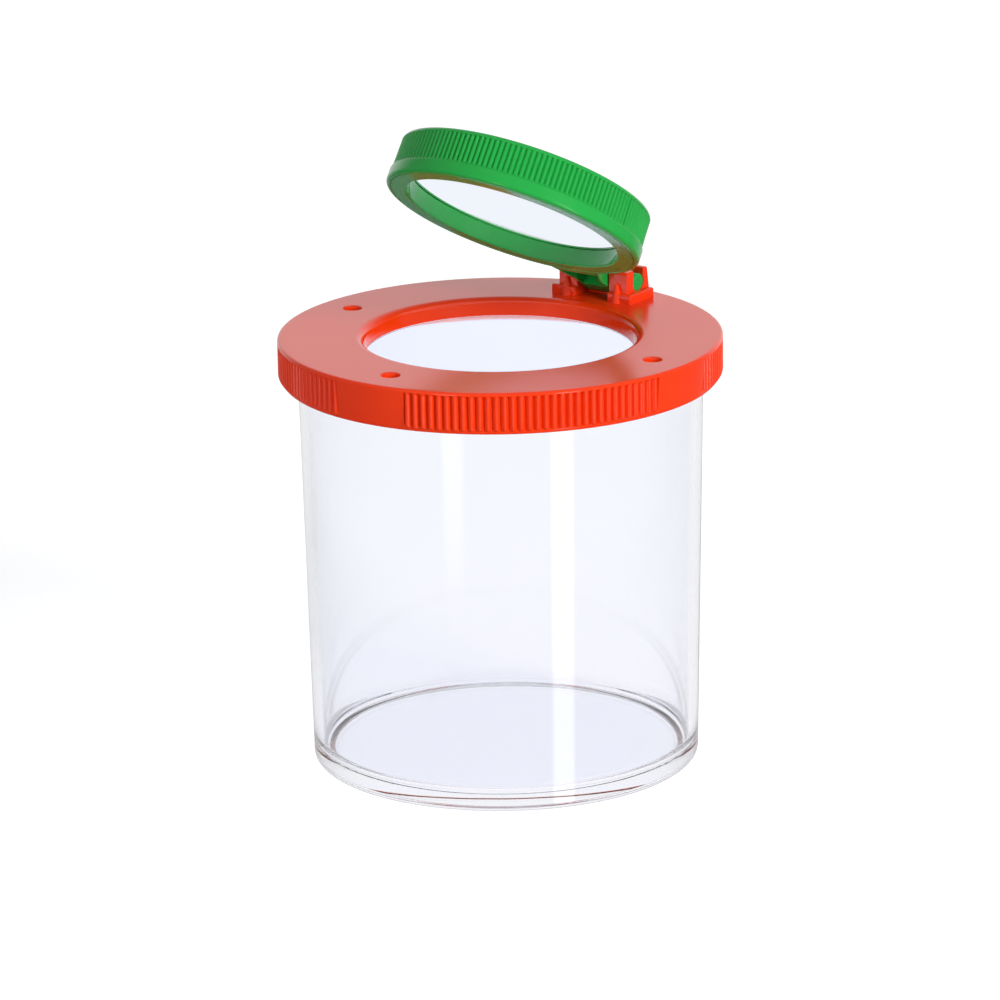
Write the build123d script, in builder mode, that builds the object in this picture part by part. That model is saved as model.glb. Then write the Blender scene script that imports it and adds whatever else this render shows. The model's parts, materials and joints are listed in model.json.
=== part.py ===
from build123d import *
import os
from math import hypot, radians, sqrt

os.makedirs("parts", exist_ok=True)

# Magnifying jar: a clear cup under a push-on lid, with one lens fixed in the lid and a second
# lens in a ring that flips up on a snap hinge. Millimetres and degrees.
# Origin: middle of the cup's base. +Z is up, and the hinge stands on the lid towards +Y.

# Cup
jar_height = 76.5
jar_base_radius = 35.0
jar_mouth_radius = 36.5
jar_wall = 1.75
jar_floor = 2.6
jar_base_rounding = 1.2
jar_rim_rounding = 0.5
jar_inner_rounding = 2.8
foot_width = 3.2
foot_recess = 0.6

# Lid
lid_radius = 40.0
lid_height = 7.7
lid_plate = 2.2
lid_draft = 0.6
lid_top_rounding = 0.5
lid_bottom_rounding = 1.0
skirt_wall = 1.9
lid_fit = 0.1
grip_rib_count = 16
grip_rib_width = 1.2
grip_rib_lead = 1.0

# Opening in the lid, and the seat of the fixed lens under it
opening_radius = 24.0
opening_flare = 0.75
opening_rounding = 1.65
seat_depth = 3.1
boss_wall = 1.5
boss_depth = 5.4

# Vent holes: three, a quarter turn apart, where the hinge takes the fourth place
vent_circle = 33.0
vent_radius = 1.65
vent_count = 3

# Knurl of the lid: four stretches of upright ridges between plain stretches
lid_ridge_angle = 2.1
lid_ridges_per_stretch = 33
lid_ridge_height = 0.45
lid_knurl_top_gap = 0.7
lid_knurl_bottom_gap = 0.9
stretch_count = 4

# Share of each ridge's width that is its flat crest
ridge_crest = 0.08

# Hinge: open slots in two ears on a low base, with a cradle between them for the barrel
hinge_offset = 33.15
hinge_height = 3.1
pin_radius = 1.65
pin_clearance = 0.05
ear_gap = 7.0
ear_width = 4.0
ear_front = 3.8
ear_back = 3.4
ear_lean = 0.6
ear_height = 5.6
ear_rounding = 0.5
slot_mouth = 3.0
hinge_base_reach = 1.3
hinge_base_front = 4.6
hinge_base_back = 3.2
hinge_base_height = 1.7
hinge_base_rounding = 0.5
ear_rib_low_radius = 1.1
ear_rib_high_radius = 0.3
ear_rib_height = 3.4
ear_rib_lead = 0.3

# Lenses: both have the same curved faces, between a flat flange and a rim
lens_curve = 122.0
lens_flange = 2.0
lens_clearance = 0.1
lid_lens_flange_width = 1.6
lid_lens_margin = 0.1

# Rings that hold the lenses: a plug with a thin flange
ring_clearance = 0.05
lid_ring_opening = 24.3
lid_ring_flange = 0.8
ring_rounding = 0.3

# Flip-up ring
closing_gap = 0.4
frame_height = 8.9
frame_band_radius = 23.8
frame_band_height = 2.5
frame_knurl_radius = 23.5
frame_draft = 0.1
frame_opening = 20.0
frame_rounding = 0.8
frame_foot_rounding = 0.7
sleeve_depth = 3.2
sleeve_opening = 19.9
sleeve_wall = 1.6
sleeve_flange_width = 1.3
sleeve_flange = 1.0
frame_ridges = 150
frame_ridge_height = 0.3
frame_knurl_top_gap = 0.7
frame_knurl_bottom_gap = 0.4

# Lug that joins the flip-up ring to its trunnions
lug_width = 6.4
lug_root_width = 11.0
lug_root_depth = 1.2
lug_waist = 5.2
lug_underside = 0.1
lug_top = 5.8
barrel_radius = 2.6
barrel_clearance = 0.3
lug_rib = 0.9
lug_web = 1.3
trunnion_inset = 0.1

# How far the ring stands open
open_angle = 33.85

# Places worked out from the sizes above
lid_top = jar_height + lid_plate
ring_low = lid_top + closing_gap
axis_height = lid_top + hinge_height
slot_radius = pin_radius + pin_clearance
lid_seat_radius = opening_radius + lid_lens_flange_width + lens_clearance
lens_top = lid_top - seat_depth
lens_low = lens_top - lens_flange
boss_low = lid_top - boss_depth
plate_low = lid_top - lid_plate
frame_seat_radius = sleeve_opening + sleeve_wall + ring_clearance
frame_foot_radius = frame_seat_radius + sleeve_flange_width
sleeve_top = ring_low + sleeve_depth
hinge_line = Axis((0, hinge_offset, axis_height), (1, 0, 0))


def outline(corners):
    """Closed outline in the XZ plane, from corners of radius, height and rounding."""
    with BuildSketch(Plane.XZ) as drawn:
        with BuildLine():
            points = [(radius, height) for radius, height, rounding in corners]
            roundings = [rounding for radius, height, rounding in corners]
            FilletPolyline(*points, radius=roundings, close=True)
        make_face()
    return drawn.sketch


def lens_outline(clear_radius, flange_radius, low, high):
    """Half section of a lens, curved out to clear_radius on both faces, with a flat flange."""

    def bulge(radius):
        return sqrt(lens_curve**2 - radius**2) - sqrt(lens_curve**2 - clear_radius**2)

    with BuildSketch(Plane.XZ) as drawn:
        with BuildLine():
            ThreePointArc(
                (0, high + bulge(0)),
                (clear_radius / 2, high + bulge(clear_radius / 2)),
                (clear_radius, high),
            )
            Polyline((clear_radius, high), (flange_radius, high), (flange_radius, low), (clear_radius, low))
            ThreePointArc(
                (clear_radius, low),
                (clear_radius / 2, low - bulge(clear_radius / 2)),
                (0, low - bulge(0)),
            )
            Line((0, low - bulge(0)), (0, high + bulge(0)))
        make_face()
    return drawn.sketch


def groove(low, high, ridge_angle, depth):
    """Cutter for one groove between two rounded ridges, up a wall from low to high (radius, height)."""
    rise = hypot(high[0] - low[0], high[1] - low[1])
    along = ((high[0] - low[0]) / rise, 0, (high[1] - low[1]) / rise)
    pitch = min(low[0], high[0]) * radians(ridge_angle)
    ridge_radius = (depth**2 + (pitch / 2) ** 2) / (2 * depth)
    edge = pitch * (1 - ridge_crest) / 2

    def ridge(across):
        return sqrt(ridge_radius**2 - (pitch / 2 - across) ** 2) - ridge_radius

    with BuildPart() as cutter:
        wall = Plane(origin=(low[0], 0, low[1]), x_dir=(along[2], 0, -along[0]), z_dir=along)
        with BuildSketch(wall):
            with BuildLine():
                ThreePointArc((-depth, 0), (ridge(edge / 2), edge / 2), (ridge(edge), edge))
                Polyline((ridge(edge), edge), (depth, edge), (depth, -edge), (ridge(edge), -edge))
                ThreePointArc((ridge(edge), -edge), (ridge(edge / 2), -edge / 2), (-depth, 0))
            make_face()
        extrude(amount=rise)
    return cutter.part


# Cup: drafted wall, rounded rim, floor raised on a foot
def jar_outer(height):
    """Radius of the cup's outside at a height."""
    return jar_base_radius + (jar_mouth_radius - jar_base_radius) * height / jar_height


with BuildPart() as jar:
    revolve(
        outline(
            [
                (0, foot_recess, 0),
                (jar_base_radius - foot_width, foot_recess, 0.3),
                (jar_base_radius - foot_width + foot_recess, 0, 0.2),
                (jar_base_radius, 0, jar_base_rounding),
                (jar_mouth_radius, jar_height, jar_rim_rounding),
                (jar_mouth_radius - jar_wall, jar_height, jar_rim_rounding),
                (jar_outer(jar_floor) - jar_wall, jar_floor, jar_inner_rounding),
                (0, jar_floor, 0),
            ]
        ),
        axis=Axis.Z,
    )

# Lid: plate, skirt and lens seat turned in one outline
skirt_inner = lid_radius - skirt_wall
skirt_low = lid_top - lid_height


def lid_outer(height):
    """Radius of the skirt's outside at a height."""
    return lid_radius - lid_draft * (lid_top - height) / lid_height


with BuildPart() as grip_rib:
    with BuildSketch(Plane.XZ):
        with BuildLine():
            Polyline(
                (jar_mouth_radius + lid_fit, plate_low),
                (skirt_inner + skirt_wall / 4, plate_low),
                (skirt_inner + skirt_wall / 4, skirt_low + lid_bottom_rounding),
                (jar_mouth_radius + lid_fit + grip_rib_lead / 2, skirt_low + lid_bottom_rounding),
                (jar_mouth_radius + lid_fit, skirt_low + lid_bottom_rounding + grip_rib_lead),
                close=True,
            )
        make_face()
    extrude(amount=grip_rib_width / 2, both=True)

# Base of the ears, rounded all round its top, and open in front for the lug
with BuildPart() as hinge_base:
    with BuildSketch(Plane.XY.offset(lid_top - lid_plate / 2)):
        with Locations((0, hinge_offset + (hinge_base_back - hinge_base_front) / 2)):
            RectangleRounded(
                ear_gap + 2 * (ear_width + hinge_base_reach),
                hinge_base_front + hinge_base_back,
                hinge_base_rounding,
            )
    extrude(amount=hinge_base_height + lid_plate / 2)
    fillet(hinge_base.faces().sort_by(Axis.Z)[-1].edges(), radius=hinge_base_rounding * 0.8)
    with BuildSketch(Plane.XY.offset(lid_top)):
        with Locations((0, hinge_offset)):
            Rectangle(ear_gap, hinge_base_front, align=(Align.CENTER, Align.MAX))
    extrude(amount=hinge_base_height, mode=Mode.SUBTRACT)
    with BuildSketch(Plane.YZ):
        with Locations((hinge_offset, axis_height)):
            Circle(barrel_radius + barrel_clearance)
    extrude(amount=ear_gap / 2, both=True, mode=Mode.SUBTRACT)
    with BuildSketch(Plane.YZ):
        with Locations((hinge_offset, axis_height)):
            Circle(slot_radius)
    extrude(amount=ear_gap / 2 + ear_width, both=True, mode=Mode.SUBTRACT)

# Ear: an open slot for a trunnion between a front and a back post
with BuildPart() as ear:
    with BuildSketch(Plane.YZ.offset(ear_gap / 2)):
        with BuildLine():
            FilletPolyline(
                (hinge_offset - ear_front, plate_low + lid_plate / 2),
                (hinge_offset - ear_front, lid_top + ear_height),
                (hinge_offset + ear_back - ear_lean, lid_top + ear_height),
                (hinge_offset + ear_back, lid_top + hinge_base_height),
                (hinge_offset + ear_back, plate_low + lid_plate / 2),
                radius=[0, ear_rounding, ear_rounding, 0, 0],
                close=True,
            )
        make_face()
        with Locations((hinge_offset, axis_height)):
            Circle(slot_radius, mode=Mode.SUBTRACT)
            Rectangle(slot_mouth, ear_height, align=(Align.CENTER, Align.MIN), mode=Mode.SUBTRACT)
    extrude(amount=ear_width)
    with Locations((ear_gap / 2 + ear_width / 2, hinge_offset - ear_front - ear_rib_lead, lid_top)):
        Cone(
            ear_rib_low_radius,
            ear_rib_high_radius,
            ear_rib_height,
            align=(Align.CENTER, Align.CENTER, Align.MIN),
        )

knurl_low = skirt_low + lid_knurl_bottom_gap
knurl_high = lid_top - lid_knurl_top_gap
lid_groove = groove(
    (lid_outer(knurl_low), knurl_low), (lid_outer(knurl_high), knurl_high), lid_ridge_angle, lid_ridge_height
)
stretch_angle = lid_ridge_angle * lid_ridges_per_stretch

with BuildPart() as lid:
    revolve(
        outline(
            [
                (opening_radius, lens_top, 0),
                (opening_radius + opening_flare, lid_top, opening_rounding),
                (lid_radius, lid_top, lid_top_rounding),
                (lid_radius - lid_draft, skirt_low, lid_bottom_rounding),
                (skirt_inner, skirt_low, 0),
                (skirt_inner, plate_low, 0),
                (lid_seat_radius + boss_wall, plate_low, 0),
                (lid_seat_radius + boss_wall, boss_low, 0),
                (lid_seat_radius, boss_low, 0),
                (lid_seat_radius, lens_top, 0),
            ]
        ),
        axis=Axis.Z,
    )
    for stretch in range(stretch_count):
        middle = (stretch + 0.5) * 360 / stretch_count
        with PolarLocations(0, lid_ridges_per_stretch, middle - stretch_angle / 2, stretch_angle):
            add(lid_groove, mode=Mode.SUBTRACT)
    with PolarLocations(0, grip_rib_count):
        add(grip_rib.part)
    with BuildSketch(Plane.XY.offset(lid_top)):
        with PolarLocations(vent_circle, vent_count, 180, 270):
            Circle(vent_radius)
    extrude(amount=-lid_plate, mode=Mode.SUBTRACT)
    add(hinge_base.part)
    add(ear.part)
    add(ear.part.mirror(Plane.YZ))

# Fixed lens and the ring that holds it up
with BuildPart() as lid_lens:
    revolve(
        lens_outline(
            opening_radius - lid_lens_margin,
            lid_seat_radius - lens_clearance,
            lens_low,
            lens_top,
        ),
        axis=Axis.Z,
    )

with BuildPart() as lid_lens_ring:
    revolve(
        outline(
            [
                (lid_ring_opening, lens_low, 0),
                (lid_seat_radius - ring_clearance, lens_low, 0),
                (lid_seat_radius - ring_clearance, boss_low, 0),
                (lid_seat_radius + boss_wall, boss_low, 0),
                (lid_seat_radius + boss_wall, boss_low - lid_ring_flange, ring_rounding),
                (lid_ring_opening, boss_low - lid_ring_flange, ring_rounding),
            ]
        ),
        axis=Axis.Z,
    )

# Flip-up ring, drawn shut over the lid: its frame, lug and trunnions are one moulding
frame_top = ring_low + frame_height
band_top = ring_low + frame_band_height
frame_lens_top = sleeve_top + lens_flange
frame_knurl_low = band_top + frame_knurl_bottom_gap
frame_knurl_high = frame_top - frame_knurl_top_gap


def frame_outer(height):
    """Radius of the knurled wall at a height."""
    return frame_knurl_radius - frame_draft * (height - band_top) / (frame_top - band_top)


frame_ridge_angle = 360 / frame_ridges
frame_groove = groove(
    (frame_outer(frame_knurl_low), frame_knurl_low),
    (frame_outer(frame_knurl_high), frame_knurl_high),
    frame_ridge_angle,
    frame_ridge_height,
)

with BuildPart() as lug:
    with BuildSketch(Plane.YZ):
        with BuildLine():
            Polyline(
                (frame_knurl_radius - lug_root_depth, ring_low + lug_underside),
                (hinge_offset - barrel_radius, ring_low + lug_underside),
                (hinge_offset, axis_height - barrel_radius),
                (hinge_offset, axis_height + barrel_radius),
                (hinge_offset - barrel_radius, axis_height + barrel_radius),
                (frame_knurl_radius - lug_root_depth, ring_low + lug_top),
                close=True,
            )
        make_face()
        with Locations((hinge_offset, axis_height)):
            Circle(barrel_radius)
    extrude(amount=lug_root_width, both=True)
    with BuildSketch(Plane.XY.offset(ring_low)):
        with BuildLine():
            Polyline(
                (-lug_root_width / 2, frame_knurl_radius - lug_root_depth),
                (lug_root_width / 2, frame_knurl_radius - lug_root_depth),
                (lug_width / 2, hinge_offset - lug_waist),
                (lug_width / 2, hinge_offset + 2 * barrel_radius),
                (-lug_width / 2, hinge_offset + 2 * barrel_radius),
                (-lug_width / 2, hinge_offset - lug_waist),
                close=True,
            )
        make_face()
    extrude(amount=frame_height, both=True, mode=Mode.INTERSECT)
    with BuildSketch(Plane.XY.offset(ring_low)):
        with BuildLine():
            Polyline(
                (lug_rib - lug_root_width / 2, frame_band_radius + lug_web / 2),
                (lug_root_width / 2 - lug_rib, frame_band_radius + lug_web / 2),
                (lug_width / 2 - lug_rib, hinge_offset - lug_waist),
                (lug_width / 2 - lug_rib, hinge_offset - barrel_radius),
                (lug_rib - lug_width / 2, hinge_offset - barrel_radius),
                (lug_rib - lug_width / 2, hinge_offset - lug_waist),
                close=True,
            )
        make_face()
    extrude(amount=axis_height + barrel_radius - lug_web - ring_low, mode=Mode.SUBTRACT)

with BuildPart() as flip_frame_shut:
    revolve(
        outline(
            [
                (0, ring_low, 0),
                (frame_band_radius, ring_low, frame_foot_rounding),
                (frame_band_radius, band_top, 0),
                (frame_knurl_radius, band_top + frame_knurl_bottom_gap / 2, 0),
                (frame_knurl_radius - frame_draft, frame_top, frame_rounding),
                (0, frame_top, 0),
            ]
        ),
        axis=Axis.Z,
    )
    with PolarLocations(0, frame_ridges, frame_ridge_angle / 2):
        add(frame_groove, mode=Mode.SUBTRACT)
    add(lug.part)
    with Locations((0, hinge_offset, axis_height)):
        Cylinder(pin_radius, ear_gap + 2 * (ear_width - trunnion_inset), rotation=(0, 90, 0))
    revolve(
        outline(
            [
                (0, ring_low, 0),
                (frame_foot_radius, ring_low, 0),
                (frame_foot_radius, ring_low + sleeve_flange, 0),
                (frame_seat_radius, ring_low + sleeve_flange, 0),
                (frame_seat_radius, frame_lens_top, 0),
                (frame_opening, frame_lens_top, 0),
                (frame_opening, frame_top, frame_rounding),
                (frame_opening + 2 * frame_rounding, frame_top, 0),
                (frame_opening + 2 * frame_rounding, frame_top + closing_gap, 0),
                (0, frame_top + closing_gap, 0),
            ]
        ),
        axis=Axis.Z,
        mode=Mode.SUBTRACT,
    )

with BuildPart() as flip_lens_shut:
    revolve(
        lens_outline(
            sleeve_opening - lid_lens_margin,
            frame_seat_radius - lens_clearance,
            sleeve_top,
            frame_lens_top,
        ),
        axis=Axis.Z,
    )

with BuildPart() as flip_sleeve_shut:
    revolve(
        outline(
            [
                (sleeve_opening, ring_low, ring_rounding),
                (frame_foot_radius - ring_clearance, ring_low, 0),
                (frame_foot_radius - ring_clearance, ring_low + sleeve_flange, 0),
                (frame_seat_radius - ring_clearance, ring_low + sleeve_flange, 0),
                (frame_seat_radius - ring_clearance, sleeve_top, 0),
                (sleeve_opening, sleeve_top, 0),
            ]
        ),
        axis=Axis.Z,
    )

# The ring and what it holds swing open together about the trunnions
with BuildPart() as flip_frame:
    add(flip_frame_shut.part.rotate(hinge_line, -open_angle))

with BuildPart() as flip_lens:
    add(flip_lens_shut.part.rotate(hinge_line, -open_angle))

with BuildPart() as flip_lens_ring:
    add(flip_sleeve_shut.part.rotate(hinge_line, -open_angle))

jar.part.label = "jar"
export_step(jar.part, "parts/jar.step")
lid.part.label = "lid"
export_step(lid.part, "parts/lid.step")
lid_lens.part.label = "lid_lens"
export_step(lid_lens.part, "parts/lid_lens.step")
lid_lens_ring.part.label = "lid_lens_ring"
export_step(lid_lens_ring.part, "parts/lid_lens_ring.step")
flip_frame.part.label = "flip_frame"
export_step(flip_frame.part, "parts/flip_frame.step")
flip_lens.part.label = "flip_lens"
export_step(flip_lens.part, "parts/flip_lens.step")
flip_lens_ring.part.label = "flip_lens_ring"
export_step(flip_lens_ring.part, "parts/flip_lens_ring.step")
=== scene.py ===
"""Magnifying jar: its looks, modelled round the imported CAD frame.

Sizes are millimetres until a mesh is made.
"""

import json
import logging
import math
from collections.abc import Callable, Iterable, Sequence
from dataclasses import dataclass, replace
from enum import Enum
from functools import partial
from typing import Any

import bmesh
import bpy
import numpy as np
from bpy.types import Material, Node, NodeSocket, NodeTree, Object
from mathutils import Matrix, Vector


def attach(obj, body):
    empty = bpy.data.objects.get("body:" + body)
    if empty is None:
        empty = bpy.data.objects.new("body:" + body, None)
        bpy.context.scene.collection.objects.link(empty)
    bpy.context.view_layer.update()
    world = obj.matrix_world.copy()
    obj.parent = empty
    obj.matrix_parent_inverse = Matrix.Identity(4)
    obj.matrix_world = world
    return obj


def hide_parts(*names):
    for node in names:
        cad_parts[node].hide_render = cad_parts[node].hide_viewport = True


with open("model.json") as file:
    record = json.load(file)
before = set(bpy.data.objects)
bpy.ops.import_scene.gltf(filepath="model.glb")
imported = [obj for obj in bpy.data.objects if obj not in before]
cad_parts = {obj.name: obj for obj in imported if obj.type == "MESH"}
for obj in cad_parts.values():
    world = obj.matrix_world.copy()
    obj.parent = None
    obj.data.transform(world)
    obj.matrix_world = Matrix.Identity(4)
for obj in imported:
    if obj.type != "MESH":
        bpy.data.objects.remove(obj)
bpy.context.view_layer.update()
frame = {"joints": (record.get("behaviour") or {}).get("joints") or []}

MM = 0.001
ARC_STEP = math.radians(15)
SMOOTH_ANGLE = math.radians(32)
BEVEL_ANGLE = math.radians(35)
ON_AXIS = 1e-6
# The clearance of a pressed-in ring, and a cutter's reach past what it cuts.
PRESS_GAP = 0.05
OVERLAP = 1.0
# Columns round a large part and round a small one.
MANY = 288
FEW = 48
LIGHT_BOUNCES = 24
WHITE = (1.0, 1.0, 1.0, 1.0)
log = logging.getLogger("magnifying_jar")


class Body(Enum):
    """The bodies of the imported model."""

    JAR = "jar"
    LID = "lid"
    FLIP_RING = "flip_ring"


class Combine(Enum):
    """What a closed tool mesh does to the mesh it meets."""

    JOIN = "UNION"
    CUT = "DIFFERENCE"
    KEEP_COMMON = "INTERSECT"


class Density(Enum):
    """How closely an outline corner is divided round the axis."""

    COARSE = 0
    FINE = 1


# Shared tools: outlines, turned and extruded meshes, and how closed meshes are combined


@dataclass(frozen=True)
class Corner:
    """A corner of a turned outline: radius and height, its rounding, and the knurl there.

    The knurl's crests stand out past the radius by stand, and relief scales the depth of its grooves.
    """

    radius: float
    height: float
    rounding: float = 0.0
    density: Density = Density.COARSE
    relief: float = 0.0
    stand: float = 0.0


def rounded_outline(corners: Sequence[Corner], closed: bool) -> list[Corner]:
    """Divides an outline, with an arc of corners in place of each rounded one.

    Args:
        corners: The outline's corners in order.
        closed: Whether the last corner joins the first.

    Returns:
        The divided outline, in the same order.
    """
    points: list[Corner] = []
    for i, corner in enumerate(corners):
        here = np.array((corner.radius, corner.height))
        at_end = not closed and i in (0, len(corners) - 1)
        if corner.rounding <= 0 or at_end:
            points.append(corner)
            continue
        before = corners[i - 1]
        after = corners[(i + 1) % len(corners)]
        back = np.array((before.radius, before.height)) - here
        on = np.array((after.radius, after.height)) - here
        back /= np.linalg.norm(back)
        on /= np.linalg.norm(on)
        half = math.acos(max(-1.0, min(1.0, float(back @ on)))) / 2
        middle = here + (back + on) / np.linalg.norm(back + on) * corner.rounding / math.sin(half)
        start = here + back * corner.rounding / math.tan(half) - middle
        end = here + on * corner.rounding / math.tan(half) - middle
        sweep = math.pi - 2 * half
        steps = max(2, math.ceil(sweep / ARC_STEP))
        for k in range(steps + 1):
            t = k / steps
            spoke = (math.sin((1 - t) * sweep) * start + math.sin(t * sweep) * end) / math.sin(sweep)
            radius, height = middle + spoke
            points.append(replace(corner, radius=float(radius), height=float(height)))
    return points


def linked(name: str, data: bpy.types.ID) -> Object:
    """Makes an object of a mesh, light or camera, linked to the scene."""
    bpy.context.scene.collection.objects.link(made := bpy.data.objects.new(name, data))
    return made


def new_object(
    name: str, vertices: Iterable[Sequence[float]], faces: Iterable[Sequence[int]]
) -> Object:
    """Makes a closed mesh object with outward faces, from vertices in millimetres.

    Args:
        name: The object's name.
        vertices: Places in millimetres.
        faces: Vertex numbers of each face.

    Returns:
        The object, linked to the scene, with its mesh in metres.
    """
    mesh = bpy.data.meshes.new(name)
    mesh.from_pydata([Vector(v) * MM for v in vertices], [], list(faces))
    work = bmesh.new()
    work.from_mesh(mesh)
    bmesh.ops.recalc_face_normals(work, faces=work.faces)
    work.to_mesh(mesh)
    work.free()
    return linked(name, mesh)


def even_columns(count: int) -> np.ndarray:
    """Angles of evenly spaced columns round the axis, in radians."""
    return np.arange(count) * 2 * math.pi / count


def turned(
    name: str,
    corners: Sequence[Corner],
    columns: np.ndarray,
    closed: bool = False,
    fine_per_coarse: int = 1,
    relief: Callable[[np.ndarray, float, float], np.ndarray] | None = None,
) -> Object:
    """Turns an outline round the Z axis.

    Args:
        name: The object's name.
        corners: The outline. A corner on the axis becomes one vertex.
        columns: Angles of the fine columns, in radians.
        closed: Whether the outline joins up with itself, and doesn't end on the axis.
        fine_per_coarse: Fine columns for each column of a coarse point.
        relief: Gives how far the knurl stands out at each angle, from a point's stand and relief.

    Returns:
        The turned object.
    """
    vertices: list[tuple[float, float, float]] = []
    rings: list[tuple[list[int], int]] = []
    for point in rounded_outline(corners, closed):
        first = len(vertices)
        if point.radius < ON_AXIS:
            vertices.append((0.0, 0.0, point.height))
            rings.append(([first], 0))
            continue
        step = 1 if point.density is Density.FINE else fine_per_coarse
        angles = columns[::step]
        radii = np.full(len(angles), point.radius)
        if relief is not None and (point.relief > 0 or point.stand > 0):
            radii = radii + relief(angles, point.stand, point.relief)
        for angle, radius in zip(angles, radii):
            vertices.append((radius * math.cos(angle), radius * math.sin(angle), point.height))
        rings.append((list(range(first, len(vertices))), step))
    faces: list[list[int]] = []
    pairs = list(zip(rings, rings[1:])) + ([(rings[-1], rings[0])] if closed else [])
    for (low, low_step), (high, high_step) in pairs:
        if not low_step or not high_step:
            ring, tip = (high, low[0]) if not low_step else (low, high[0])
            faces.extend([ring[j], ring[(j + 1) % len(ring)], tip] for j in range(len(ring)))
            continue
        coarse = min(len(low), len(high))
        for j in range(coarse):
            there, back = (strip_part(ring, j, len(ring) // coarse) for ring in (low, high))
            faces.append(there + back[::-1])
    return new_object(name, vertices, faces)


def strip_part(ring: Sequence[int], cell: int, span: int) -> list[int]:
    """Vertex numbers of one ring along one coarse cell, both ends included."""
    return [ring[(cell * span + k) % len(ring)] for k in range(span + 1)]


def extruded(
    name: str,
    outline: Sequence[tuple[float, float]],
    place: Callable[[float, float, float], Sequence[float]],
    low: float,
    high: float,
) -> Object:
    """Extrudes a flat outline.

    Args:
        name: The object's name.
        outline: Points across the extrusion, in order.
        place: Turns (across, up, along) into x, y and z.
        low: Where the extrusion starts.
        high: Where it ends.

    Returns:
        The prism.
    """
    count = len(outline)
    vertices = [place(a, b, along) for along in (low, high) for a, b in outline]
    sides = [[j, (j + 1) % count, count + (j + 1) % count, count + j] for j in range(count)]
    ends = [list(range(count)), list(range(2 * count - 1, count - 1, -1))]
    return new_object(name, vertices, ends + sides)


def along_x(a: float, b: float, along: float) -> tuple[float, float, float]:
    """An outline of y and z, extruded along X."""
    return (along, a, b)


def along_z(a: float, b: float, along: float) -> tuple[float, float, float]:
    """An outline of x and y, extruded along Z."""
    return (a, b, along)


def block(name: str, low: Sequence[float], high: Sequence[float]) -> Object:
    """A rectangular block between two corners, in millimetres."""
    outline = [(low[0], low[1]), (high[0], low[1]), (high[0], high[1]), (low[0], high[1])]
    return extruded(name, outline, along_z, low[2], high[2])


def bar(name: str, radius: float, length: float, middle: Sequence[float], rounding: float) -> Object:
    """A round bar along X with rounded ends.

    Args:
        name: The object's name.
        radius: The bar's radius.
        length: Its whole length.
        middle: Its middle, in millimetres.
        rounding: The rounding of its end edges.

    Returns:
        The bar.
    """
    corners = [
        Corner(0, -length / 2),
        Corner(radius, -length / 2, rounding),
        Corner(radius, length / 2, rounding),
        Corner(0, length / 2),
    ]
    made = turned(name, corners, even_columns(FEW))
    place = Matrix.Translation(Vector(middle) * MM)
    made.data.transform(place @ Matrix.Rotation(math.pi / 2, 4, "Y"))
    return made


def apply_modifiers(target: Object) -> None:
    """Replaces a mesh by what its modifiers make of it.

    Args:
        target: The mesh object.
    """
    bpy.context.view_layer.update()
    shown = target.evaluated_get(bpy.context.evaluated_depsgraph_get())
    mesh = bpy.data.meshes.new_from_object(shown)
    target.modifiers.clear()
    old = target.data
    target.data = mesh
    mesh.name = target.name
    bpy.data.meshes.remove(old)


def soften(target: Object, width: float, steps: int = 3) -> Object:
    """Rounds every sharp edge of a simple solid.

    Args:
        target: The solid.
        width: The rounding in millimetres.
        steps: Faces across the rounding.

    Returns:
        The solid.
    """
    edge = target.modifiers.new("edge", "BEVEL")
    edge.width = width * MM
    edge.segments = steps
    edge.limit_method = "ANGLE"
    edge.angle_limit = BEVEL_ANGLE
    apply_modifiers(target)
    return target


def combine(target: Object, tool: Object, how: Combine) -> None:
    """Joins, cuts or intersects a mesh with a tool mesh, and removes the tool.

    Args:
        target: The mesh that changes.
        tool: The closed mesh that is used up.
        how: What the tool does.
    """
    step = target.modifiers.new("combine", "BOOLEAN")
    step.operation = how.value
    step.solver = "MANIFOLD"
    step.object = tool
    apply_modifiers(target)
    mesh = tool.data
    bpy.data.objects.remove(tool)
    bpy.data.meshes.remove(mesh)


def shade(target: Object) -> None:
    """Shades a finished mesh smooth, with its sharp edges kept and its flat faces flat.

    Args:
        target: The mesh object.
    """
    mesh = target.data
    mesh.shade_smooth()
    mesh.set_sharp_from_angle(angle=SMOOTH_ANGLE)
    weighted = target.modifiers.new("weighted", "WEIGHTED_NORMAL")
    weighted.mode = "FACE_AREA"
    weighted.weight = 100
    weighted.keep_sharp = True
    apply_modifiers(target)


# Finishes


def linear(hex_colour: str) -> tuple[float, ...]:
    """Turns an sRGB hex colour into linear red, green and blue, with an alpha of 1."""
    values = [int(hex_colour[i : i + 2], 16) / 255 for i in (1, 3, 5)]
    return (*(v / 12.92 if v <= 0.04045 else ((v + 0.055) / 1.055) ** 2.4 for v in values), 1.0)


def add_node(
    tree: NodeTree, kind: str, inputs: Sequence[Any] | dict[Any, Any] = (), **settings: Any
) -> Node:
    """Adds a node with its settings, values and links.

    Args:
        tree: The node tree.
        kind: The node's type name.
        inputs: A value or an output socket for each input, in the inputs' order or by name or number.
        settings: The node's own properties.

    Returns:
        The node.
    """
    node = tree.nodes.new(kind)
    for name, value in settings.items():
        setattr(node, name, value)
    for key, value in inputs.items() if isinstance(inputs, dict) else enumerate(inputs):
        if isinstance(value, NodeSocket):
            tree.links.new(value, node.inputs[key])
        else:
            node.inputs[key].default_value = value
    return node


def per_metre(size_mm: float) -> float:
    """Noise scale whose features are about this many millimetres across."""
    return 1 / (size_mm * MM)


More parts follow.
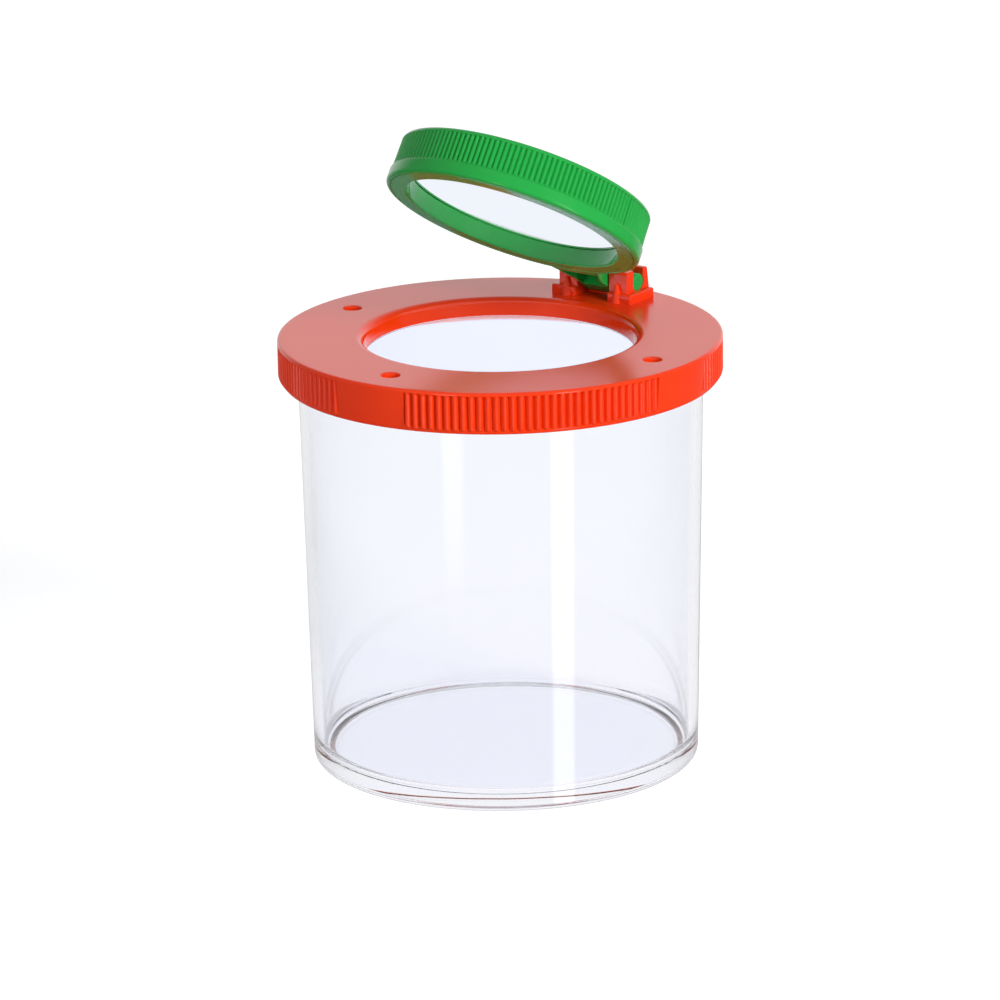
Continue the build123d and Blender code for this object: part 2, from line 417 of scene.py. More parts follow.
def new_material(name: str, surface: Callable[[NodeTree], NodeSocket]) -> Material:
    """Makes a material.

    Args:
        name: The material's name.
        surface: Fills the node tree, and gives the shader of the surface.

    Returns:
        The material.
    """
    made = bpy.data.materials.new(name)
    made.use_nodes = True
    tree = made.node_tree
    tree.nodes.clear()
    add_node(tree, "ShaderNodeOutputMaterial", (surface(tree),))
    return made


def lamp_light(tree: NodeTree) -> NodeSocket:
    """Tells the rays that gather lamp light, which clear plastic lets by, from all others.

    Args:
        tree: The node tree.

    Returns:
        1 for those rays and 0 for the others.
    """
    ray = add_node(tree, "ShaderNodeLightPath").outputs
    kinds = (ray["Is Shadow Ray"], ray["Is Diffuse Ray"])
    return add_node(tree, "ShaderNodeMath", kinds, operation="MAXIMUM").outputs[0]


@dataclass(frozen=True)
class Finish:
    """A finish of the object: its name and its main colour."""

    name: str
    colour: str

    def surface(self, tree: NodeTree) -> NodeSocket:
        """Fills an empty node tree, and gives the shader of the surface."""
        raise NotImplementedError

    def build(self) -> Material:
        """Makes the material."""
        return new_material(self.name, self.surface)


@dataclass(frozen=True)
class MouldedAbs(Finish):
    """ABS, injection moulded and pigmented through: a glossy skin over an even, opaque colour.

    To the eye it is saturated, with a clear sheen, a barely seen orange-peel texture where the mould
    was polished by hand, and slow, faint changes of tone where the plastic flowed. Level faces come
    from the flat of the mould, which was left satin.
    """

    deeper: str
    level_gloss: float
    gloss: float = 0.07
    worn: float = 0.12
    worn_range: tuple[float, float] = (0.35, 0.7)
    level_range: tuple[float, float] = (0.9, 0.99)
    flow_mm: float = 16.0
    scuff_mm: float = 3.6
    peel_mm: float = 0.9
    peel_height_mm: float = 0.0012
    ior: float = 1.54

    def surface(self, tree: NodeTree) -> NodeSocket:
        """Fills the node tree.

        Args:
            tree: The material's node tree, empty.

        Returns:
            The shader of the surface.
        """
        add = partial(add_node, tree)
        coordinates = add("ShaderNodeTexCoord").outputs
        flow, scuffs, peel = (
            add(
                "ShaderNodeTexNoise",
                {
                    "Vector": coordinates["Object"], "Scale": per_metre(size),
                    "Detail": detail, "Roughness": uneven, "Distortion": warp,
                },
            ).outputs["Fac"]
            for size, detail, uneven, warp in (
                (self.flow_mm, 2.0, 0.45, 0.6),
                (self.scuff_mm, 4.0, 0.6, 0.0),
                (self.peel_mm, 3.0, 0.5, 0.0),
            )
        )
        tones = {0: flow, 6: linear(self.colour), 7: linear(self.deeper)}
        tone = add("ShaderNodeMix", tones, data_type="RGBA")
        # Scuffs from handling lift the roughness in patches.
        rough = add("ShaderNodeMapRange", (scuffs, *self.worn_range, self.gloss, self.worn)).outputs[0]
        rise = add("ShaderNodeSeparateXYZ", (coordinates["Normal"],)).outputs["Z"]
        level = add("ShaderNodeMapRange", (rise, *self.level_range)).outputs[0]
        skin = add("ShaderNodeMix", {0: level, 2: rough, 3: self.level_gloss})
        height = self.peel_height_mm * MM
        bump = add("ShaderNodeBump", {"Height": peel, "Distance": height, "Strength": 1.0})
        shader = add(
            "ShaderNodeBsdfPrincipled",
            {
                "Base Color": tone.outputs[2], "Roughness": skin.outputs[0],
                "Normal": bump.outputs["Normal"], "IOR": self.ior,
            },
        )
        return shader.outputs["BSDF"]


@dataclass(frozen=True)
class ClearMoulding(Finish):
    """Clear polystyrene, injection moulded in a polished mould.

    To the eye it is water clear with a faint cool cast, bright mirror edges, and long, slow waves in
    its reflections where the wall shrank unevenly. Lamps shine through it, so its shadow is light.
    """

    ior: float = 1.59
    shadow: str = "#F8FAFD"
    wave_mm: float = 9.0
    wave_height_mm: float = 0.003

    def surface(self, tree: NodeTree) -> NodeSocket:
        """Fills the node tree.

        Args:
            tree: The material's node tree, empty.

        Returns:
            The shader of the surface.
        """
        add = partial(add_node, tree)
        place = add("ShaderNodeTexCoord").outputs["Object"]
        scale = per_metre(self.wave_mm)
        waves = {"Vector": place, "Scale": scale, "Detail": 1.0, "Roughness": 0.4}
        wave = add("ShaderNodeTexNoise", waves).outputs["Fac"]
        height = self.wave_height_mm * MM
        bump = add("ShaderNodeBump", {"Height": wave, "Distance": height, "Strength": 1.0})
        glass = add(
            "ShaderNodeBsdfPrincipled",
            {
                "Base Color": linear(self.colour), "Roughness": 0.0, "IOR": self.ior,
                "Transmission Weight": 1.0, "Normal": bump.outputs["Normal"],
            },
        )
        let_by = add("ShaderNodeBsdfTransparent", (linear(self.shadow),))
        either = (lamp_light(tree), glass.outputs["BSDF"], let_by.outputs["BSDF"])
        return add("ShaderNodeMixShader", either).outputs["Shader"]


@dataclass(frozen=True)
class CoatedLens(Finish):
    """Acrylic, moulded as a lens, polished and hard coated.

    To the eye it is a bright, pale and cool window that bends what is behind it. The coating kills its
    reflections except close to edge-on, and light leaves the far face straight on, so that no mirror
    image is caught between its two faces.
    """

    ior: float = 1.49
    bare: float = 0.46
    mirror: float = 0.54
    shadow: str = "#F8FAFD"

    def surface(self, tree: NodeTree) -> NodeSocket:
        """Fills the node tree.

        Args:
            tree: The material's node tree, empty.

        Returns:
            The shader of the surface.
        """
        add = partial(add_node, tree)
        clear = {"Roughness": 0.0, "IOR": self.ior}
        tint = linear(self.colour)
        facing = add("ShaderNodeFresnel", (self.ior,)).outputs[0]
        edge_on = add(
            "ShaderNodeMapRange", (facing, self.bare, self.mirror), interpolation_type="SMOOTHSTEP"
        )
        window = add("ShaderNodeBsdfRefraction", {"Color": tint, **clear})
        solid = {"Base Color": tint, "Transmission Weight": 1.0, **clear}
        glass = add("ShaderNodeBsdfPrincipled", solid)
        kinds = (edge_on.outputs[0], window.outputs[0], glass.outputs["BSDF"])
        near_face = add("ShaderNodeMixShader", kinds)
        far_face = add("ShaderNodeBsdfTransparent", (linear(self.shadow),))
        leaving = add("ShaderNodeNewGeometry").outputs["Backfacing"]
        straight = add("ShaderNodeMath", (lamp_light(tree), leaving), operation="MAXIMUM")
        either = (straight.outputs[0], near_face.outputs[0], far_face.outputs[0])
        return add("ShaderNodeMixShader", either).outputs["Shader"]


class Finishes:
    """The object's finishes, each made once."""

    def __init__(self) -> None:
        """Makes every material."""
        self.clear_jar = ClearMoulding("clear_polystyrene_moulded", "#F9FAFE").build()
        self.lens = CoatedLens("clear_acrylic_coated", "#F7F9FE").build()
        self.red = MouldedAbs("red_abs_moulded", "#EC3A0C", "#E63309", level_gloss=0.21).build()
        self.green = MouldedAbs("green_abs_moulded", "#20A244", "#1C983C", level_gloss=0.15).build()


def dress(piece: Object, finish: Material, body: Body, node: str) -> Object:
    """Shades and finishes a piece, sets it on its body and in place of its CAD node.

    Args:
        piece: The finished mesh.
        finish: Its material.
        body: The body that it moves with.
        node: The CAD node that it stands for.

    Returns:
        The piece.
    """
    shade(piece)
    piece.data.materials.clear()
    piece.data.materials.append(finish)
    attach(piece, body.value)
    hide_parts(node)
    return piece


# The object's sub-assemblies


def joint_named(name: str) -> dict[str, Any]:
    """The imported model's joint of that name."""
    return next(j for j in frame["joints"] if j["name"] == name)


@dataclass(frozen=True)
class Knurl:
    """Upright ridges round a wall: round crests between grooves, in equal stretches."""

    ridge_angle: float
    depth: float
    ridges: int
    stretches: int
    start: float
    crest_share: float
    columns_per_ridge: int = 12
    plain_columns: int = 30

    def columns(self) -> np.ndarray:
        """Places the columns of the ridges and of the plain stretches between them.

        Returns:
            Their angles, in radians.
        """
        stretch = 360 / self.stretches
        knurled = self.ridge_angle * self.ridges
        steps = np.arange(self.ridges * self.columns_per_ridge)
        ridged = steps * self.ridge_angle / self.columns_per_ridge
        plain = knurled + np.arange(self.plain_columns) * (stretch - knurled) / self.plain_columns
        one = np.concatenate([ridged, plain]) if stretch - knurled > ON_AXIS else ridged
        starts = np.arange(self.stretches) * stretch + self.start
        return np.radians((starts[:, None] + one[None, :]).ravel())

    def relief(self, angles: np.ndarray, stand: float, share: float) -> np.ndarray:
        """How far the knurled wall stands out past the plain one.

        Args:
            angles: Places round the axis, in radians.
            stand: How far the crests stand out.
            share: The share of the grooves' depth that is cut.

        Returns:
            The distance at each place, in millimetres, below zero in a groove.
        """
        along = (np.degrees(angles) - self.start + 1e-7) % (360 / self.stretches) / self.ridge_angle
        from_crest = np.abs(along % 1 - 0.5) * 2
        flank = np.clip((from_crest - self.crest_share) / (1 - self.crest_share), 0, 1)
        crown = np.minimum(from_crest / self.crest_share, 1) ** 2 * self.crest_share**2
        fall = crown + (1 - self.crest_share**2) * flank**1.5 * (2 - flank) ** 0.5
        knurled = (along > ON_AXIS) & (along < self.ridges)
        return np.where(knurled, stand - share * self.depth * fall, 0.0)


@dataclass(frozen=True)
class Jar:
    """The clear cup: drafted wall, floor raised on a foot."""

    height: float = 76.5
    base_radius: float = 35.0
    mouth_radius: float = 36.5
    wall: float = 1.75
    floor: float = 2.6
    base_rounding: float = 1.2
    rim_rounding: float = 0.5
    inner_rounding: float = 2.8
    foot_width: float = 3.2
    foot_recess: float = 0.6
    foot_rounding: float = 0.2
    recess_rounding: float = 0.3
    columns: int = 360

    def outer(self, height: float) -> float:
        """Radius of the cup's outside at a height."""
        return self.base_radius + (self.mouth_radius - self.base_radius) * height / self.height

    def build(self, finishes: Finishes) -> Object:
        """Turns the cup.

        Args:
            finishes: The object's finishes.

        Returns:
            The cup.
        """
        foot = self.base_radius - self.foot_width
        corners = [
            Corner(0, self.foot_recess),
            Corner(foot, self.foot_recess, self.recess_rounding),
            Corner(foot + self.foot_recess, 0, self.foot_rounding),
            Corner(self.base_radius, 0, self.base_rounding),
            Corner(self.mouth_radius, self.height, self.rim_rounding),
            Corner(self.mouth_radius - self.wall, self.height, self.rim_rounding),
            Corner(self.outer(self.floor) - self.wall, self.floor, self.inner_rounding),
            Corner(0, self.floor),
        ]
        cup = turned("jar_cup", corners, even_columns(self.columns))
        return dress(cup, finishes.clear_jar, Body.JAR, "jar")


@dataclass(frozen=True)
class HingeSizes:
    """The snap hinge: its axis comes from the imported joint, and its ears stand on the lid."""

    offset: float
    axis_height: float
    pin_radius: float = 1.65
    pin_clearance: float = 0.05
    slot_margin: float = 0.02
    ear_gap: float = 7.0
    ear_width: float = 4.0
    ear_front: float = 3.8
    ear_back: float = 3.4
    ear_lean: float = 0.6
    ear_height: float = 5.6
    ear_rounding: float = 0.5
    ear_edge: float = 0.3
    slot_mouth: float = 3.0
    base_reach: float = 1.3
    base_front: float = 4.6
    base_back: float = 3.2
    base_height: float = 1.7
    base_rounding: float = 0.4
    rib_low_radius: float = 1.1
    rib_high_radius: float = 0.3
    rib_height: float = 3.4
    rib_lead: float = 0.3
    rib_rounding: float = 0.2
    rib_columns: int = 32
    barrel_radius: float = 2.6
    barrel_clearance: float = 0.3

    @classmethod
    def from_frame(cls) -> "HingeSizes":
        """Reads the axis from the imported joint."""
        place = joint_named("flip_hinge")["pos_m"]
        return cls(offset=place[1] / MM, axis_height=place[2] / MM)

    def middle(self, x: float = 0.0) -> tuple[float, float, float]:
        """The point of the hinge's axis at an x."""
        return (x, self.offset, self.axis_height)

    def slot_radius(self) -> float:
        """Radius of the trunnions' slots."""
        return self.pin_radius + self.pin_clearance


@dataclass(frozen=True)
class Lens:
    """A lens with two curved faces and a flat flange, from its opening's and its seat's radius."""

    opening: float
    seat: float
    low: float
    flange: float = 2.0
    curve: float = 122.0
    gap: float = 0.1
    edge_rounding: float = 0.15
    rows: int = 24

    def bulge(self, radius: float) -> float:
        """How far a face stands out past the flange at a radius."""
        curve, clear = self.curve**2, (self.opening - self.gap) ** 2
        return math.sqrt(curve - radius**2) - math.sqrt(curve - clear)

    def build(self, name: str) -> Object:
        """Turns the lens.

        Args:
            name: The object's name.

        Returns:
            The lens.
        """
        low, high = self.low, self.low + self.flange
        radii = [(self.opening - self.gap) * k / self.rows for k in range(self.rows + 1)]
        below = [Corner(r, low - self.bulge(r)) for r in radii]
        above = [Corner(r, high + self.bulge(r)) for r in reversed(radii)]
        edge = [Corner(self.seat - self.gap, z, self.edge_rounding) for z in (low, high)]
        return turned(name, below + edge + above, even_columns(MANY))


@dataclass(frozen=True)
class Lid:
    """The red lid: plate, knurled skirt, lens seat, vents and the ears of the hinge, one moulding."""

    hinge: HingeSizes
    top: float
    radius: float = 40.0
    height: float = 7.7
    plate: float = 2.2
    draft: float = 0.6
    top_rounding: float = 0.5
    foot_rounding: float = 0.6
    skirt_wall: float = 1.9
    skirt_edge: float = 0.1
    opening_radius: float = 24.0
    opening_flare: float = 0.75
    opening_rounding: float = 1.65
    seat_depth: float = 3.1
    seat_radius: float = 25.7
    boss_wall: float = 1.5
    boss_depth: float = 5.4
    boss_rounding: float = 0.2
    vent_circle: float = 33.0
    vent_radius: float = 1.65
    vent_lip: float = 0.35
    vent_lip_share: float = 0.3
    vent_angles: tuple[float, ...] = (180.0, 270.0, 0.0)
    knurl: Knurl = Knurl(
        ridge_angle=2.1, depth=0.75, ridges=33, stretches=4, start=10.35, crest_share=0.3
    )
    knurl_top_gap: float = 0.6
    knurl_bottom_gap: float = 0.7
    knurl_run: float = 0.5
    knurl_start: tuple[tuple[float, float], ...] = ((0.0, 0.0), (0.3, 0.6), (1.0, 1.0))
    knurl_end: tuple[tuple[float, float], ...] = ((1.0, 1.0), (0.3, 0.7), (0.0, 0.0))
    crest_radius: float = 39.95
    grip_ribs: int = 16
    grip_rib_width: float = 1.2
    grip_rib_lead: float = 1.0
    grip_rib_low: float = 1.0
    grip_rib_roots: tuple[float, float] = (0.4, 0.2)
    grip_radius: float = 36.6
    ring_opening: float = 24.3
    ring_flange: float = 0.8
    ring_rounding: float = 0.3
    ring_edge: float = 0.1

    def outer(self, height: float) -> float:
        """Radius of the skirt's outside at a height."""
        return self.radius - self.draft * (self.top - height) / self.height

    def knurl_corner(self, height: float, share: float) -> Corner:
        """A corner of the skirt's outside, with a share of the knurl's upright crests and grooves."""
        wall = self.outer(height)
        return Corner(wall, height, 0, Density.FINE, share, share * (self.crest_radius - wall))

    def shell(self) -> Object:
        """Turns plate, skirt and seat in one outline, with the knurl in its outer wall.

        Returns:
            The shell.
        """
        low = self.top - self.height
        plate_low = self.top - self.plate
        boss_low = self.top - self.boss_depth
        seat = self.top - self.seat_depth
        boss = self.seat_radius + self.boss_wall
        skirt = self.radius - self.skirt_wall
        knurl_high = self.top - self.knurl_top_gap
        knurl_low = low + self.knurl_bottom_gap
        fine, run = Density.FINE, self.knurl_run
        corners = [
            Corner(self.opening_radius, seat),
            Corner(self.opening_radius + self.opening_flare, self.top, self.opening_rounding),
            Corner(self.radius - 2 * self.top_rounding, self.top),
            Corner(self.radius, self.top, self.top_rounding, fine),
            *(self.knurl_corner(knurl_high - step * run, share) for step, share in self.knurl_start),
            *(self.knurl_corner(knurl_low + step * run, share) for step, share in self.knurl_end),
            Corner(self.radius - self.draft, low, self.foot_rounding, fine),
            Corner(skirt + self.skirt_edge, low),
            Corner(skirt, low + self.skirt_edge),
            Corner(skirt, plate_low),
            Corner(boss, plate_low),
            Corner(boss, boss_low, self.boss_rounding),
            Corner(self.seat_radius, boss_low, self.boss_rounding),
            Corner(self.seat_radius, seat),
        ]
        knurl = self.knurl
        return turned(
            "lid_cap", corners, knurl.columns(), closed=True, fine_per_coarse=4, relief=knurl.relief
        )

    def vent_cutter(self, angle: float) -> Object:
        """A cutter for one vent hole, flared at the top.

        Args:
            angle: The vent's place round the lid, in degrees.

        Returns:
            The cutter.
        """
        low, high = self.top - 2 * self.plate, self.top + self.plate
        lip, step = self.vent_lip, self.vent_lip * self.vent_lip_share
        corners = [
            Corner(0, low),
            Corner(self.vent_radius, low),
            Corner(self.vent_radius, self.top - lip),
            Corner(self.vent_radius + step, self.top - step),
            Corner(self.vent_radius + lip, self.top),
            Corner(self.vent_radius + lip, high),
            Corner(0, high),
        ]
        cutter = turned("vent_cutter", corners, even_columns(FEW))
        a = math.radians(angle)
        place = Vector((math.cos(a), math.sin(a), 0)) * self.vent_circle * MM
        cutter.data.transform(Matrix.Translation(place))
        return cutter

    def grip_rib(self, angle: float) -> Object:
        """One rib inside the skirt, which grips the cup.

        Args:
            angle: The rib's place round the lid, in degrees.

        Returns:
            The rib.
        """
        front, lead = self.grip_radius, self.grip_rib_lead
        low = self.top - self.height + self.grip_rib_low
        high = self.top - self.plate + self.grip_rib_roots[1]
        back = self.radius - self.skirt_wall + self.grip_rib_roots[0]
        lead_in = [(front + lead / 2, low), (front, low + lead)]
        outline = [(front, high), (back, high), (back, low), *lead_in]
        width = self.grip_rib_width
        rib = extruded("grip_rib", outline, lambda a, b, along: (a, along, b), -width / 2, width / 2)
        rib.data.transform(Matrix.Rotation(math.radians(angle), 4, "Z"))
        return rib

    def hinge_base(self) -> Object:
        """The low base of the ears: open in front for the lug, with a cradle behind it for the barrel.

        Returns:
            The base.
        """
        h = self.hinge
        low = self.top - self.plate / 2
        high = self.top + h.base_height
        reach = h.ear_gap / 2 + h.ear_width + h.base_reach
        front, back = h.offset - h.base_front, h.offset + h.base_back
        base = block("hinge_base", (-reach, front, low), (reach, back, high))
        half = h.ear_gap / 2
        way_low = (-half, front - OVERLAP, low + self.plate / 4)
        way_high = (half, h.offset, high + OVERLAP)
        combine(base, block("lug_way", way_low, way_high), Combine.CUT)
        soften(base, h.base_rounding, steps=4)
        cradle = h.barrel_radius + h.barrel_clearance
        combine(base, bar("cradle", cradle, h.ear_gap, h.middle(), 0), Combine.CUT)
        length = h.ear_gap + 2 * h.ear_width
        combine(base, bar("slot_bore", h.slot_radius(), length, h.middle(), 0), Combine.CUT)
        return base

    def ear(self, side: int) -> Object:
        """One ear of the hinge, with its open slot and the flared rib on its front.

        Args:
            side: 1 for the ear on +X, -1 for the one on -X.

        Returns:
            The ear.
        """
        h = self.hinge
        low = self.top - self.plate / 2
        high = self.top + h.ear_height
        corners = [
            Corner(h.offset - h.ear_front, low),
            Corner(h.offset - h.ear_front, high, h.ear_rounding),
            Corner(h.offset + h.ear_back - h.ear_lean, high, h.ear_rounding),
            Corner(h.offset + h.ear_back, self.top + h.base_height),
            Corner(h.offset + h.ear_back, low),
        ]
        outline = [(p.radius, p.height) for p in rounded_outline(corners, closed=True)]
        near, far = sorted((side * h.ear_gap / 2, side * (h.ear_gap / 2 + h.ear_width)))
        ear = extruded("ear", outline, along_x, near, far)
        middle = h.middle(side * (h.ear_gap + h.ear_width) / 2)
        length = h.ear_width + h.slot_margin
        combine(ear, bar("slot_bore", h.slot_radius(), length, middle, 0), Combine.CUT)
        mouth = h.slot_mouth / 2
        way_low = (near - OVERLAP, h.offset - mouth, h.axis_height)
        way_high = (far + OVERLAP, h.offset + mouth, high + OVERLAP)
        combine(ear, block("slot_way", way_low, way_high), Combine.CUT)
        soften(ear, h.ear_edge)
        rib_corners = [
            Corner(0, low),
            Corner(h.rib_low_radius, low),
            Corner(h.rib_low_radius, self.top),
            Corner(h.rib_high_radius, self.top + h.rib_height, h.rib_rounding),
            Corner(0, self.top + h.rib_height),
        ]
        rib = turned("ear_rib", rib_corners, even_columns(h.rib_columns))
        place = Vector((middle[0], h.offset - h.ear_front - h.rib_lead, 0)) * MM
        rib.data.transform(Matrix.Translation(place))
        combine(ear, rib, Combine.JOIN)
        return ear

    def build(self, finishes: Finishes) -> list[Object]:
        """Builds the lid, its lens and the ring that holds the lens.

        Args:
            finishes: The object's finishes.

        Returns:
            The pieces.
        """
        cap = self.shell()
        combine(cap, self.hinge_base(), Combine.JOIN)
        for side in (-1, 1):
            combine(cap, self.ear(side), Combine.JOIN)
        for angle in self.vent_angles:
            combine(cap, self.vent_cutter(angle), Combine.CUT)
        for k in range(self.grip_ribs):
            combine(cap, self.grip_rib(k * 360 / self.grip_ribs), Combine.JOIN)
        lens_low = self.top - self.seat_depth - Lens.flange
        lens = Lens(self.opening_radius, self.seat_radius, lens_low)
        boss_low = self.top - self.boss_depth
        ring_low = boss_low - self.ring_flange
        press, boss = self.seat_radius - PRESS_GAP, self.seat_radius + self.boss_wall
        ring_corners = [
            Corner(self.ring_opening, lens_low, self.ring_edge),
            Corner(press, lens_low, self.ring_edge),
            Corner(press, boss_low),
            Corner(boss, boss_low, self.ring_edge),
            Corner(boss, ring_low, self.ring_rounding),
            Corner(self.ring_opening, ring_low, self.ring_rounding),
        ]
        ring = turned("lid_lens_retainer", ring_corners, even_columns(MANY), closed=True)
        return [
            dress(cap, finishes.red, Body.LID, "lid"),
            dress(lens.build("lid_lens_disc"), finishes.lens, Body.LID, "lid_lens"),
            dress(ring, finishes.clear_jar, Body.LID, "lid_lens_ring"),
        ]


@dataclass(frozen=True)
class FlipRing:
    """The green ring that holds the second lens, its lug and its trunnions."""

    hinge: HingeSizes
    lid_top: float
    open_angle: float
    closing_gap: float = 0.4
    height: float = 8.9
    band_radius: float = 23.8
    band_height: float = 2.5
    band_rounding: float = 0.15
    knurl_radius: float = 23.5
    draft: float = 0.1
    opening: float = 20.0
    rounding: float = 0.8
    foot_rounding: float = 0.7
    seat_radius: float = 21.55
    foot_radius: float = 22.85
    foot_edge: float = 0.12
    sleeve_depth: float = 3.2
    sleeve_opening: float = 19.9
    sleeve_flange: float = 1.0
    sleeve_rounding: float = 0.3
    sleeve_edge: float = 0.1
    knurl: Knurl = Knurl(
        ridge_angle=2.4, depth=0.42, ridges=150, stretches=1, start=-1.2, crest_share=0.4
    )
    knurl_top_gap: float = 0.7
    knurl_bottom_gap: float = 0.4
    knurl_run: float = 0.25
    knurl_lead: float = 0.1
    top_land: float = 0.96
    lug_width: float = 6.4
    lug_root_width: float = 11.0
    lug_root_depth: float = 1.2
    lug_waist: float = 5.2
    lug_underside: float = 0.1
    lug_top: float = 5.8
    lug_rib: float = 0.9
    lug_web: float = 1.3
    lug_rounding: float = 0.25
    plan_reach: tuple[float, float] = (-5.0, 15.0)
    trunnion_inset: float = 0.1
    trunnion_rounding: float = 0.2
    bore_columns: int = 300

    def opened(self) -> Matrix:
        """Swings a shut piece open about the hinge.

        Returns:
            The move, in metres.
        """
        axis = Vector((0, self.hinge.offset, self.hinge.axis_height)) * MM
        swing = Matrix.Rotation(-self.open_angle, 4, "X")
        return Matrix.Translation(axis) @ swing @ Matrix.Translation(-axis)

    def lug_plan(self, inset: float, start: float, end: float) -> list[tuple[float, float]]:
        """The lug seen from above: flared towards the ring.

        Args:
            inset: How far its sides stand in from the lug's own.
            start: Where it begins, out from the jar's axis.
            end: Where it ends.

        Returns:
            The corners.
        """
        flare, half = self.lug_root_width / 2 - inset, self.lug_width / 2 - inset
        waist = self.hinge.offset - self.lug_waist
        right = [(flare, start), (half, waist), (half, end)]
        return [(-flare, start), *right, (-half, end), (-half, waist)]

    def lug(self, low: float) -> Object:
        """The lug between ring and trunnions: a flared plan, a barrel between the ears, hollow below.

        Args:
            low: Height of the shut ring's underside.

        Returns:
            The lug, shut.
        """
        h = self.hinge
        root = self.knurl_radius - self.lug_root_depth
        side = [
            (root, low + self.lug_underside),
            (h.offset - h.barrel_radius, low + self.lug_underside),
            (h.offset, h.axis_height - h.barrel_radius),
            (h.offset, h.axis_height + h.barrel_radius),
            (h.offset - h.barrel_radius, h.axis_height + h.barrel_radius),
            (root, low + self.lug_top),
        ]
        reach = self.lug_root_width / 2 + OVERLAP
        lug = extruded("lug", side, along_x, -reach, reach)
        plan = self.lug_plan(0, root, h.offset + 2 * h.barrel_radius)
        plan_low, plan_high = (low + reach for reach in self.plan_reach)
        combine(lug, extruded("lug_plan", plan, along_z, plan_low, plan_high), Combine.KEEP_COMMON)
        soften(lug, self.lug_rounding)
        barrel = bar("barrel", h.barrel_radius, self.lug_width, h.middle(), self.lug_rounding)
        combine(lug, barrel, Combine.JOIN)
        start, end = self.band_radius + self.lug_web / 2, h.offset - h.barrel_radius
        hollow = self.lug_plan(self.lug_rib, start, end)
        ceiling = h.axis_height + h.barrel_radius - self.lug_web
        combine(lug, extruded("pocket", hollow, along_z, low - OVERLAP, ceiling), Combine.CUT)
        return lug

    def build(self, finishes: Finishes) -> list[Object]:
        """Builds the ring, its lens and the sleeve that holds the lens.

        Args:
            finishes: The object's finishes.

        Returns:
            The pieces.
        """
        h = self.hinge
        low = self.lid_top + self.closing_gap
        top = low + self.height
        band_top = low + self.band_height
        sleeve_top = low + self.sleeve_depth
        lens_top = sleeve_top + Lens.flange
        knurl_low = band_top + self.knurl_bottom_gap
        knurl_high = top - self.knurl_top_gap
        fine = Density.FINE
        wall = self.knurl_radius - self.draft
        outside = [
            Corner(0, low),
            Corner(self.band_radius - 2 * self.foot_rounding, low),
            Corner(self.band_radius, low, self.foot_rounding, fine),
            Corner(self.band_radius, band_top, self.band_rounding, fine),
            Corner(self.knurl_radius, knurl_low - self.knurl_lead, 0, fine),
            Corner(self.knurl_radius, knurl_low + self.knurl_run, 0, fine, 1.0),
            Corner(wall, knurl_high - self.knurl_run, 0, fine, 1.0),
            Corner(wall, knurl_high, 0, fine),
            Corner(wall, top, self.rounding, fine),
            Corner(wall - self.top_land, top),
            Corner(0, top),
        ]
        knurl = self.knurl
        ring = turned(
            "flip_ring_frame", outside, knurl.columns(), fine_per_coarse=6, relief=knurl.relief
        )
        combine(ring, self.lug(low), Combine.JOIN)
        length = h.ear_gap + 2 * (h.ear_width - self.trunnion_inset)
        pins = bar("trunnions", h.pin_radius, length, h.middle(), self.trunnion_rounding)
        combine(ring, pins, Combine.JOIN)
        flange_top, foot = low + self.sleeve_flange, self.foot_radius + self.foot_edge
        inside = [
            Corner(0, low - OVERLAP),
            Corner(foot, low - OVERLAP),
            Corner(foot, low),
            Corner(self.foot_radius, low + self.foot_edge),
            Corner(self.foot_radius, flange_top),
            Corner(self.seat_radius, flange_top),
            Corner(self.seat_radius, lens_top),
            Corner(self.opening, lens_top),
            Corner(self.opening, top, self.rounding),
            Corner(self.opening + 2 * self.rounding, top),
            Corner(self.opening + 2 * self.rounding, top + OVERLAP),
            Corner(0, top + OVERLAP),
        ]
        combine(ring, turned("bore", inside, even_columns(self.bore_columns)), Combine.CUT)
        lens = Lens(self.sleeve_opening, self.seat_radius, sleeve_top)
        foot, press = self.foot_radius - PRESS_GAP, self.seat_radius - PRESS_GAP
        sleeve_corners = [
            Corner(self.sleeve_opening, low, self.sleeve_rounding),
            Corner(foot, low, self.foot_edge),
            Corner(foot, flange_top),
            Corner(press, flange_top),
            Corner(press, sleeve_top),
            Corner(self.sleeve_opening, sleeve_top, self.sleeve_edge),
        ]
        sleeve = turned("flip_ring_sleeve", sleeve_corners, even_columns(MANY), closed=True)
        disc = lens.build("flip_ring_lens")
        for piece in (ring, disc, sleeve):
            piece.data.transform(self.opened())
        return [
            dress(ring, finishes.green, Body.FLIP_RING, "flip_frame"),
            dress(disc, finishes.lens, Body.FLIP_RING, "flip_lens"),
            dress(sleeve, finishes.green, Body.FLIP_RING, "flip_lens_ring"),
        ]


# The studio


def direction(azimuth: float, rise: float) -> Vector:
    """Unit vector out from the object: degrees round from -Y towards +X, and above the floor."""
    a, e = math.radians(azimuth), math.radians(rise)
    return Vector((math.sin(a) * math.cos(e), -math.cos(a) * math.cos(e), math.sin(e)))


